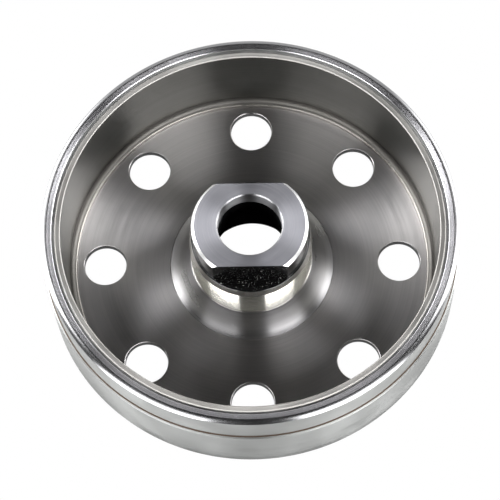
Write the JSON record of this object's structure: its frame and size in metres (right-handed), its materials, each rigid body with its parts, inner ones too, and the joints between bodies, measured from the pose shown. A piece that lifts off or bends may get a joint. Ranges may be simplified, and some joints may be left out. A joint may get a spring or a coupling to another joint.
{
  "type": "flywheel",
  "caption": "Cup-shaped magneto flywheel with a magnet ring behind a thin inner cover, lightening holes in its web and a tapered hub with two wrench flats.",
  "frame": {"origin": "centre of the back face, on the shaft axis", "axes": "+Z along the shaft axis towards the open side of the cup and the hub's nose; +Y square to the two wrench flats; one lightening hole lies on +X"},
  "size_m": [0.15, 0.15, 0.04],
  "materials": {
    "cup_steel": "turned steel, satin",
    "hub_steel": "turned and ground steel",
    "cover_steel": "drawn stainless sheet, satin",
    "ring_steel": "plain steel, as cut",
    "magnet": "sintered magnet, dull dark grey",
    "spacer": "moulded plastic, matte black"
  },
  "bodies": {
    "root": {"rotor_cup": "cup_steel", "hub": "hub_steel", "base_ring": "ring_steel", "end_ring": "ring_steel", "magnet_cover": "cover_steel", "magnet_01": "magnet", "magnet_02": "magnet", "magnet_03": "magnet", "magnet_04": "magnet", "magnet_05": "magnet", "magnet_06": "magnet", "magnet_07": "magnet", "magnet_08": "magnet", "magnet_09": "magnet", "magnet_10": "magnet", "magnet_11": "magnet", "magnet_12": "magnet", "spacer_01": "spacer", "spacer_02": "spacer", "spacer_03": "spacer", "spacer_04": "spacer", "spacer_05": "spacer", "spacer_06": "spacer", "spacer_07": "spacer", "spacer_08": "spacer", "spacer_09": "spacer", "spacer_10": "spacer", "spacer_11": "spacer", "spacer_12": "spacer"}
  },
  "joints": []
}
